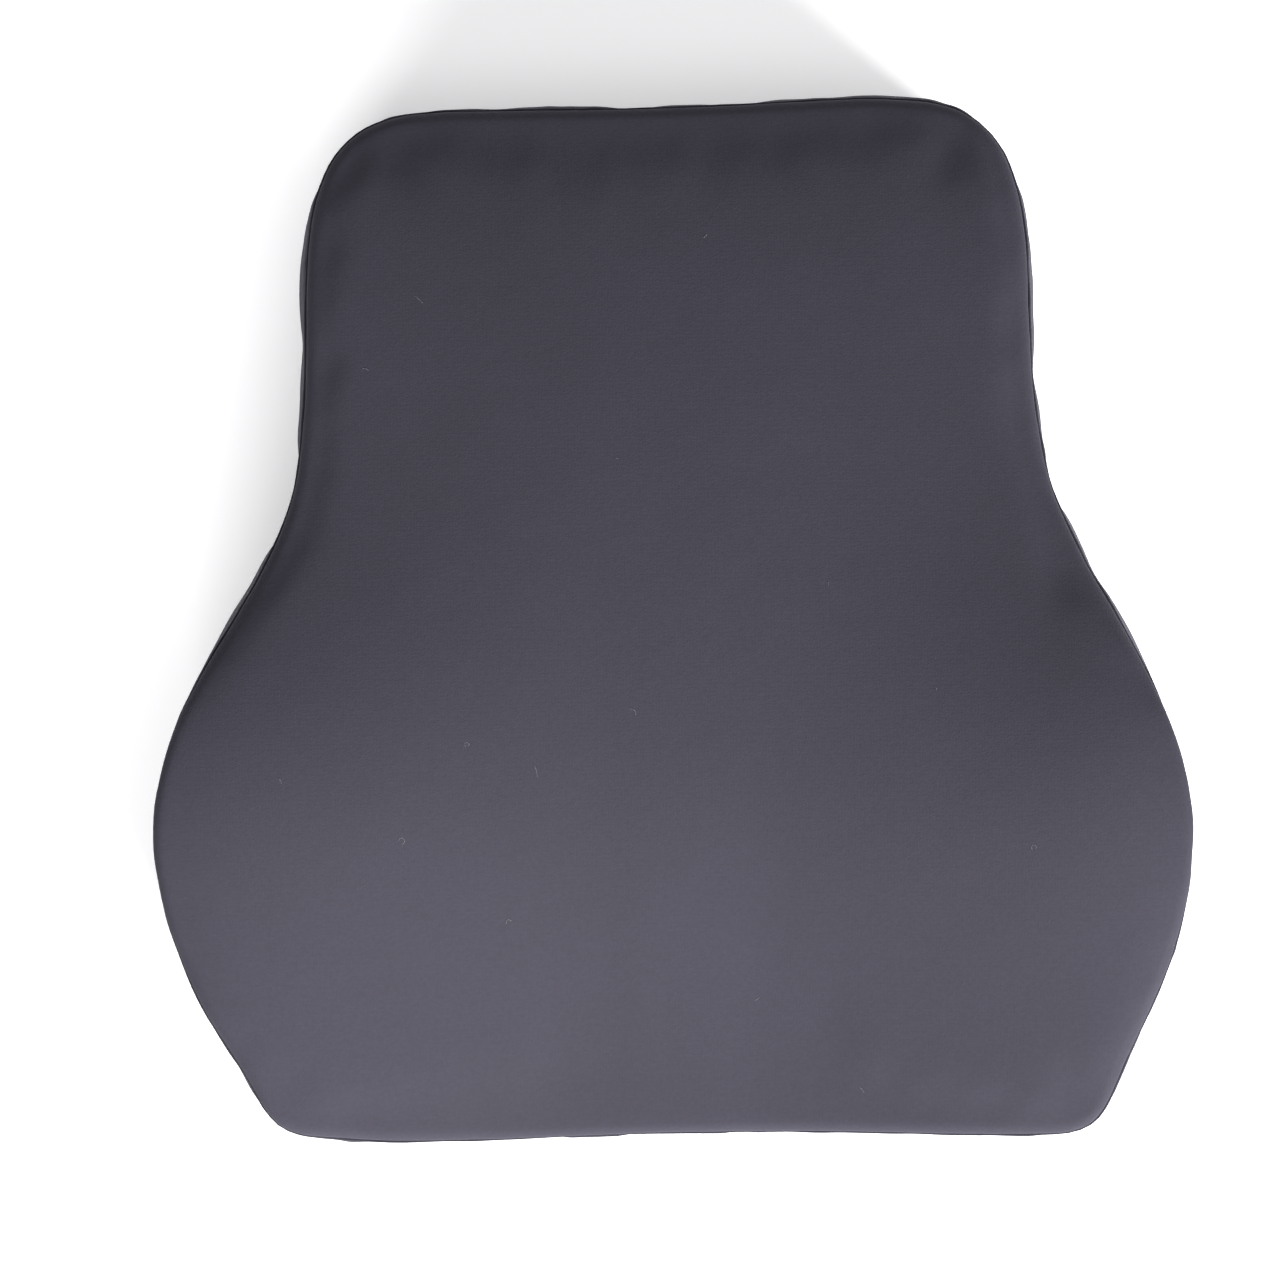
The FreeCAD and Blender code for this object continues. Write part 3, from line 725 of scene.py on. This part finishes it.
def webbing(name, points, thick=STRAP_T, width=STRAP_W, seed=0.0):
    """Ribbed elastic webbing: a thin band with rounded edges and a fine weave along it."""
    path = catmull(points)
    d = np.linalg.norm(np.diff(path, axis=0), axis=1)
    s = np.concatenate([[0], np.cumsum(d)])
    n = int(s[-1] / 0.6)
    t = np.linspace(0, s[-1], n)
    c = np.stack([np.interp(t, s, path[:, 0]), np.interp(t, s, path[:, 1])], 1)
    g = np.gradient(c, axis=0)
    g /= np.linalg.norm(g, axis=1)[:, None]
    nrm = np.stack([-g[:, 1], g[:, 0]], 1)
    # cross-section: ribs on both faces, rounded selvedges
    half, ribs = width / 2, 12
    prof = []
    m = ribs * 4
    for k in range(m + 1):
        y = -half + 0.7 + (width - 1.4) * k / m
        prof.append((y, thick / 2 - 0.09 * (0.5 - 0.5 * math.cos(2 * math.pi * k / 4))))
    for k in range(1, 6):
        a = math.pi / 2 - math.pi * k / 6
        prof.append((half - 0.7 + 0.7 * math.cos(a), thick / 2 * math.sin(a)))
    for k in range(m, -1, -1):
        y = -half + 0.7 + (width - 1.4) * k / m
        prof.append((y, -thick / 2 + 0.09 * (0.5 - 0.5 * math.cos(2 * math.pi * k / 4))))
    for k in range(1, 6):
        a = -math.pi / 2 - math.pi * k / 6
        prof.append((-half + 0.7 + 0.7 * math.cos(a), thick / 2 * math.sin(a)))
    prof = np.array(prof)
    q = len(prof)
    v = np.empty((n, q, 3))
    weave = 0.035 * np.sin(t * 2 * math.pi / 1.3)
    wob = np.array([noise.noise(Vector((x * 0.04 + seed, seed, 0))) for x in t]) * 0.15
    for k in range(q):
        off = prof[k, 1] + np.sign(prof[k, 1]) * weave * (1 if k % 2 else -1)
        v[:, k, 0] = c[:, 0] + nrm[:, 0] * off
        v[:, k, 2] = c[:, 1] + nrm[:, 1] * off
        v[:, k, 1] = STRAP_Y + prof[k, 0] + wob
    f = []
    for i in range(n - 1):
        for k in range(q):
            l = (k + 1) % q
            f.append((i * q + k, (i + 1) * q + k, (i + 1) * q + l, i * q + l))
    f.append(tuple(range(q)))
    f.append(tuple((n - 1) * q + k for k in range(q))[::-1])
    ob = new_mesh(name, v.reshape(-1, 3), f)
    uv = ob.data.uv_layers.new(name="UVMap")
    vi = np.empty(len(ob.data.loops), int)
    ob.data.loops.foreach_get("vertex_index", vi)
    uu = np.stack([t[vi // q] / 10.0, prof[vi % q, 0] / 10.0], 1)
    uv.data.foreach_set("uv", uu.ravel())
    return ob


strap_s = webbing("strap_short_webbing", SHORT_PATH, seed=1.0)
strap_t = webbing("strap_long_webbing", TAIL_PATH, seed=4.0)
strap_l = webbing("strap_long_loop", LOOP_PATH, thick=1.1, width=24.8, seed=4.0)

zt = (2.8 + 0.6 + 0.12) * MM
box_pts = []
for (xa, ya), (xb, yb) in (((64.4, -91.1), (82.6, -91.1)), ((82.6, -91.1), (82.6, -72.9)), ((82.6, -72.9), (64.4, -72.9)),
                           ((64.4, -72.9), (64.4, -91.1)), ((64.4, -91.1), (82.6, -72.9)), ((82.6, -72.9), (82.6, -91.1)),
                           ((82.6, -91.1), (64.4, -72.9))):
    for k in range(20):
        box_pts.append(((xa + (xb - xa) * k / 20) * MM, (ya + (yb - ya) * k / 20) * MM, zt))
box_stitch = stitches("strap_box_stitches", box_pts, 0.0022, 0.0007, 0.00022, lift=lambda c: np.tile([0, 0, 1.0], (len(c), 1)))

# ------------------------------------------------------------------ care label, sewn flat on the back
lv, lf = [], []
LN, LM = 16, 21
for i in range(LN + 1):
    for j in range(LM + 1):
        x, y = 66.0 + 32.0 * i / LN, -150.0 + 42.0 * j / LM
        edge = min(i, LN - i, j, LM - j)
        z = float(back_z(x, y)) - 0.28 - (0.25 * noise.noise(Vector((x * 0.09, y * 0.07, 3.0))) + 0.15 if edge > 0 else 0)
        lv.append((x, y, z))
for i in range(LN):
    for j in range(LM):
        a = i * (LM + 1) + j
        lf.append((a, a + 1, a + LM + 2, a + LM + 1))
label = new_mesh("care_label_satin", lv, lf)
sol = label.modifiers.new("thick", "SOLIDIFY")
sol.thickness = 0.00022
sol.offset = 0
sub = label.modifiers.new("sub", "SUBSURF")
sub.levels = sub.render_levels = 2
apply_all(label)
lab_path = []
for (xa, ya), (xb, yb) in (((67.2, -148.8), (96.8, -148.8)), ((96.8, -148.8), (96.8, -109.2)), ((96.8, -109.2), (67.2, -109.2)),
                           ((67.2, -109.2), (67.2, -148.8))):
    for k in range(24):
        x, y = xa + (xb - xa) * k / 24, ya + (yb - ya) * k / 24
        lab_path.append((x * MM, y * MM, (float(back_z(x, y)) - 0.52) * MM))
label_stitch = stitches("care_label_stitches", lab_path, 0.002, 0.0008, 0.00014, closed=True,
                        lift=lambda c: np.tile([0, 0, -1.0], (len(c), 1)))

# ------------------------------------------------------------------ a few lint fibres caught on the knit
bvh_front = BVHTree.FromPolygons([v.co for v in cover_front.data.vertices], [p.vertices[:] for p in cover_front.data.polygons])
lint_v, lint_f, ln = [], [], 0
LINT = [  # x, y mm, length mm, heading degrees, curl
    (72, -187, 2.6, 115, 0.3), (-53, -61, 4.6, 88, 0.5), (-95, 122, 4.0, 125, 0.4), (-116, 96, 2.4, 140, 0.6),
    (-79, -49, 4.2, 30, 5.0), (-105, -86, 5.2, 350, 4.5), (137, -91, 4.4, 40, 4.8), (-64, -117, 3.4, 100, 3.5),
    (-15, -38, 4.0, 60, 2.4), (-28, 199, 2.2, 60, 1.0), (14, 146, 1.8, 20, 1.0), (60, 12, 1.6, 200, 2.0),
    (-150, -62, 2.0, 75, 1.2), (30, -150, 2.0, 10, 0.9), (-20, 60, 1.5, 130, 0.5), (100, -30, 1.4, 45, 2.0),
]
for n_, (x, y, long_, head, curl) in enumerate(LINT):
    pts = []
    a, px, py = math.radians(head), x, y
    for k in range(13):
        hit = bvh_front.ray_cast(Vector((px * MM, py * MM, 0.3)), Vector((0, 0, -1)))
        if hit[0] is not None:
            pts.append(tuple(hit[0] + Vector((0, 0, 0.00012 + 0.0001 * math.sin(k * 0.8 + n_)))))
        a += curl / 12
        px += math.cos(a) * long_ / 12
        py += math.sin(a) * long_ / 12
    if len(pts) > 4:
        v, f = tube("", pts, 0.00005, False, 5)
        lint_v.append(v)
        lint_f += [tuple(i + ln for i in g) for g in f]
        ln += len(v)
lint = new_mesh("lint_fibres", np.vstack(lint_v) * 1000, lint_f)


# ------------------------------------------------------------------ materials
def material(name, colour, rough=0.6, sheen=0.0, metallic=0.0, specular=0.5):
    m = bpy.data.materials.new(name)
    m.use_nodes = True
    nt = m.node_tree
    b = nt.nodes["Principled BSDF"]
    b.inputs["Base Color"].default_value = (*colour, 1)
    b.inputs["Roughness"].default_value = rough
    b.inputs["Metallic"].default_value = metallic
    b.inputs["Specular IOR Level"].default_value = specular
    b.inputs["Sheen Weight"].default_value = sheen
    return m, nt, b


def node(nt, kind, **kw):
    n = nt.nodes.new(kind)
    for k, v in kw.items():
        if k in n.inputs:
            n.inputs[k].default_value = v
        else:
            setattr(n, k, v)
    return n


def ramp(nt, fac, stops):
    r = nt.nodes.new("ShaderNodeValToRGB")
    while len(r.color_ramp.elements) < len(stops):
        r.color_ramp.elements.new(0.5)
    for e, (p, c) in zip(r.color_ramp.elements, stops):
        e.position = p
        e.color = (*c, 1) if len(c) == 3 else c
    nt.links.new(fac, r.inputs["Fac"])
    return r.outputs["Color"]


def tone(c, k):
    return tuple(min(1.0, x * k) for x in c)


def knit(name, colour, course=0.00062, bump=0.22, rough=0.84, sheen=0.04, mottling=0.07, tint=(0.8, 0.8, 1.0)):
    """Fine double knit: rows of loops, slight mottling, faint wear."""
    m, nt, b = material(name, colour, rough, sheen, 0.0, 0.28)
    b.inputs["Sheen Roughness"].default_value = 0.42
    b.inputs["Sheen Tint"].default_value = (*tint, 1)
    b.inputs["Specular IOR Level"].default_value = 0.16
    tc = node(nt, "ShaderNodeTexCoord")
    obj = tc.outputs["Object"]
    w1 = node(nt, "ShaderNodeTexWave", wave_type="BANDS", bands_direction="X")
    w1.inputs["Scale"].default_value = 1 / course / 20 * 3.14
    w1.inputs["Distortion"].default_value = 6.0
    w1.inputs["Detail"].default_value = 1.0
    w1.inputs["Detail Scale"].default_value = 3.0
    nt.links.new(obj, w1.inputs["Vector"])
    w2 = node(nt, "ShaderNodeTexWave", wave_type="BANDS", bands_direction="Y")
    w2.inputs["Scale"].default_value = 1 / course / 20 * 2.4
    w2.inputs["Distortion"].default_value = 7.0
    w2.inputs["Detail"].default_value = 1.0
    w2.inputs["Detail Scale"].default_value = 3.0
    nt.links.new(obj, w2.inputs["Vector"])
    mul = node(nt, "ShaderNodeMath", operation="MULTIPLY")
    nt.links.new(w1.outputs["Fac"], mul.inputs[0])
    nt.links.new(w2.outputs["Fac"], mul.inputs[1])
    fine = node(nt, "ShaderNodeTexNoise")
    fine.inputs["Scale"].default_value = 1500
    fine.inputs["Detail"].default_value = 3
    nt.links.new(obj, fine.inputs["Vector"])
    add = node(nt, "ShaderNodeMath", operation="MULTIPLY_ADD")
    nt.links.new(fine.outputs["Fac"], add.inputs[0])
    add.inputs[1].default_value = 0.6
    nt.links.new(mul.outputs[0], add.inputs[2])
    bp = node(nt, "ShaderNodeBump")
    bp.inputs["Strength"].default_value = bump
    bp.inputs["Distance"].default_value = 0.00018
    nt.links.new(add.outputs[0], bp.inputs["Height"])
    nt.links.new(bp.outputs["Normal"], b.inputs["Normal"])
    big = node(nt, "ShaderNodeTexNoise")
    big.inputs["Scale"].default_value = 9
    big.inputs["Detail"].default_value = 5
    big.inputs["Roughness"].default_value = 0.6
    nt.links.new(obj, big.inputs["Vector"])
    small = node(nt, "ShaderNodeTexNoise")
    small.inputs["Scale"].default_value = 620
    small.inputs["Detail"].default_value = 2
    nt.links.new(obj, small.inputs["Vector"])
    k = mottling
    c1 = ramp(nt, big.outputs["Fac"], [(0.3, tone(colour, 1 - k)), (0.7, tone(colour, 1 + k))])
    c2 = ramp(nt, small.outputs["Fac"], [(0.3, (1 - 1.6 * k,) * 3), (0.7, (1.0,) * 3)])
    mix = node(nt, "ShaderNodeMix", data_type="RGBA", blend_type="MULTIPLY")
    mix.inputs["Factor"].default_value = 1.0
    nt.links.new(c1, mix.inputs["A"])
    nt.links.new(c2, mix.inputs["B"])
    nt.links.new(mix.outputs["Result"], b.inputs["Base Color"])
    rr = ramp(nt, big.outputs["Fac"], [(0.25, (rough - 0.05,) * 3), (0.75, (rough + 0.06,) * 3)])
    nt.links.new(rr, b.inputs["Roughness"])
    return m


def plain(name, colour, rough, scale=180, bump=0.12, dist=0.0001, metallic=0.0, specular=0.5, vary=0.12, sheen=0.0):
    """Moulded, cast or spun surface with fine grain and slight wear."""
    m, nt, b = material(name, colour, rough, sheen, metallic, specular)
    tc = node(nt, "ShaderNodeTexCoord")
    n1 = node(nt, "ShaderNodeTexNoise")
    n1.inputs["Scale"].default_value = scale * 8
    n1.inputs["Detail"].default_value = 4
    nt.links.new(tc.outputs["Object"], n1.inputs["Vector"])
    bp = node(nt, "ShaderNodeBump")
    bp.inputs["Strength"].default_value = bump
    bp.inputs["Distance"].default_value = dist
    nt.links.new(n1.outputs["Fac"], bp.inputs["Height"])
    nt.links.new(bp.outputs["Normal"], b.inputs["Normal"])
    n2 = node(nt, "ShaderNodeTexNoise")
    n2.inputs["Scale"].default_value = scale
    n2.inputs["Detail"].default_value = 5
    nt.links.new(tc.outputs["Object"], n2.inputs["Vector"])
    nt.links.new(ramp(nt, n2.outputs["Fac"], [(0.3, tone(colour, 1 - vary)), (0.7, tone(colour, 1 + vary))]), b.inputs["Base Color"])
    nt.links.new(ramp(nt, n2.outputs["Fac"], [(0.3, (max(0, rough - 0.08),) * 3), (0.7, (min(1, rough + 0.08),) * 3)]), b.inputs["Roughness"])
    return m


COVER = (0.0285, 0.0266, 0.0365)
mat_cover = knit("cover_knit", COVER)
mat_side = knit("cover_knit_side", tone(COVER, 0.92), bump=0.3)
mat_back = knit("cover_back_knit", tone(COVER, 0.85), course=0.0011, bump=0.6, rough=0.8, mottling=0.09)
mat_ridge = knit("cover_seam_edge", tone(COVER, 0.8), course=0.0004, bump=0.5, sheen=0.04)
mat_thread = plain("sewing_thread", (0.045, 0.043, 0.05), 0.7, 400, 0.4, 0.00008, sheen=0.3)
mat_tape = knit("zip_tape_weave", (0.03, 0.029, 0.033), course=0.0007, bump=0.6, rough=0.78, sheen=0.2)
mat_coil = plain("nylon_coil", (0.022, 0.022, 0.025), 0.42, 300, 0.1)
mat_metal = plain("lacquered_zinc", (0.018, 0.018, 0.02), 0.36, 120, 0.10, 0.00006, metallic=0.35, vary=0.25)
mat_plastic = plain("acetal_black", (0.020, 0.020, 0.023), 0.48, 90, 0.25, 0.00012, vary=0.18)
mat_foam = plain("moulded_foam", (0.80, 0.72, 0.50), 0.9, 40, 0.5, 0.0004, specular=0.2)
mat_liner = knit("liner_jersey", (0.80, 0.80, 0.78), course=0.0008, bump=0.5, rough=0.85, sheen=0.1, tint=(1, 1, 1))
mat_label = plain("label_satin", (0.78, 0.78, 0.76), 0.38, 220, 0.3, 0.00005, vary=0.03, sheen=0.3)
mat_lint = plain("lint", (0.17, 0.165, 0.175), 0.8, 300, 0.1)

mat_web, nt, b = material("elastic_webbing", (0.02, 0.02, 0.024), 0.75, 0.35, 0.0, 0.3)
uvn = node(nt, "ShaderNodeTexCoord")
wv = node(nt, "ShaderNodeTexWave", wave_type="BANDS", bands_direction="X")
wv.inputs["Scale"].default_value = 3.9
wv.inputs["Distortion"].default_value = 0.6
nt.links.new(uvn.outputs["UV"], wv.inputs["Vector"])
wv2 = node(nt, "ShaderNodeTexWave", wave_type="BANDS", bands_direction="Y")
wv2.inputs["Scale"].default_value = 4.6
wv2.inputs["Distortion"].default_value = 0.4
nt.links.new(uvn.outputs["UV"], wv2.inputs["Vector"])
mx = node(nt, "ShaderNodeMath", operation="MULTIPLY")
nt.links.new(wv.outputs["Fac"], mx.inputs[0])
nt.links.new(wv2.outputs["Fac"], mx.inputs[1])
bp = node(nt, "ShaderNodeBump")
bp.inputs["Strength"].default_value = 0.6
bp.inputs["Distance"].default_value = 0.0002
nt.links.new(mx.outputs[0], bp.inputs["Height"])
nt.links.new(bp.outputs["Normal"], b.inputs["Normal"])
nz = node(nt, "ShaderNodeTexNoise")
nz.inputs["Scale"].default_value = 260
nt.links.new(uvn.outputs["Object"], nz.inputs["Vector"])
nt.links.new(ramp(nt, mx.outputs[0], [(0.0, (0.012, 0.012, 0.014)), (0.6, (0.03, 0.03, 0.035))]), b.inputs["Base Color"])
nt.links.new(ramp(nt, nz.outputs["Fac"], [(0.3, (0.68,) * 3), (0.7, (0.82,) * 3)]), b.inputs["Roughness"])


def paint(ob, m):
    ob.data.materials.clear()
    ob.data.materials.append(m)


for ob, m in ((cover_front, mat_cover), (cover_side, mat_side), (cover_back, mat_back), (ridge_f, mat_ridge), (ridge_b, mat_ridge),
              (liner, mat_liner), (foam, mat_foam), (zip_stitch, mat_thread), (strap_s, mat_web), (strap_t, mat_web),
              (strap_l, mat_web), (box_stitch, mat_thread), (label, mat_label), (label_stitch, mat_thread), (lint, mat_lint)):
    paint(ob, m)
CAD_LOOK = {"zip_tape_upper": mat_tape, "zip_tape_lower": mat_tape, "zip_coil_upper": mat_coil, "zip_coil_lower": mat_coil,
            "zip_slider": mat_metal, "zip_pull_tab": mat_metal, "zip_top_stops": mat_metal, "zip_bottom_stop": mat_metal,
            "strap_adjuster": mat_plastic, "buckle_female": mat_plastic, "buckle_male": mat_plastic,
            "buckle_latch_arms": mat_plastic}
for n_, m in CAD_LOOK.items():
    paint(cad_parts[n_], m)

# ------------------------------------------------------------------ what rides on what
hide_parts("cover_front_panel")
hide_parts("cover_side_gusset")
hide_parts("cover_back_panel")
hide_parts("front_seam_thread")
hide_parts("back_seam_thread")
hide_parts("liner_front_panel", "liner_back_panel", "liner_side_band")
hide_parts("foam_core")
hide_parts("strap_short")
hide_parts("strap_long")
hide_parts("strap_long")
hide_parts("strap_box_stitch")
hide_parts("care_label")
for ob in (cover_front, cover_side, cover_back, ridge_f, ridge_b, liner, foam, zip_stitch, strap_s, box_stitch, label, label_stitch, lint):
    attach(ob, "cushion")
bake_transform(strap_t)
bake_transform(strap_l)

# ------------------------------------------------------------------ floor, light, camera
fm = bpy.data.meshes.new("studio_floor")
S = 4.0
fm.from_pydata([(-S, -S, 0), (S, -S, 0), (S, S, 0), (-S, S, 0)], [], [(0, 1, 2, 3)])
floor = bpy.data.objects.new("studio_floor", fm)
scene.collection.objects.link(floor)
mf, nt, b = material("studio_paper", (0.9, 0.9, 0.905), 0.9, 0, 0, 0.1)
b.inputs["Emission Color"].default_value = (1.0, 0.995, 1.0, 1)
b.inputs["Emission Strength"].default_value = 0.32
paint(floor, mf)


def area(name, loc, size, power, colour=(1, 1, 1), target=(0, 0, 0.06)):
    l = bpy.data.lights.new(name, "AREA")
    l.shape = "SQUARE"
    l.size = size
    l.energy = power
    l.color = colour
    o = bpy.data.objects.new(name, l)
    scene.collection.objects.link(o)
    o.location = loc
    o.rotation_euler = (Vector(target) - Vector(loc)).to_track_quat("-Z", "Y").to_euler()
    return o


def from_dir(az, el, dist):
    a, e = math.radians(az), math.radians(el)
    return (dist * math.cos(e) * math.cos(a), dist * math.cos(e) * math.sin(a), dist * math.sin(e))


area("key_right", from_dir(-50, 26, 5.5), 2.6, 960)
area("fill_left", from_dir(-112, 31, 5.5), 2.8, 270)
area("top_soft", from_dir(-12, 73, 2.6), 1.9, 31)
world = bpy.data.worlds.new("studio")
scene.world = world
world.use_nodes = True
world.node_tree.nodes["Background"].inputs["Color"].default_value = (0.96, 0.965, 1.0, 1)
world.node_tree.nodes["Background"].inputs["Strength"].default_value = 0.26
scene.view_settings.view_transform = "Standard"
scene.view_settings.look = "None"

cam = bpy.data.cameras.new("camera")
cam.sensor_width = 36
cam.lens = 36 * 1800 / 519.3
camera = bpy.data.objects.new("camera", cam)
scene.collection.objects.link(camera)
camera.location = (-0.0128, -0.0093, 1.8)
camera.rotation_euler = (0, 0, math.radians(-0.8))
scene.camera = camera
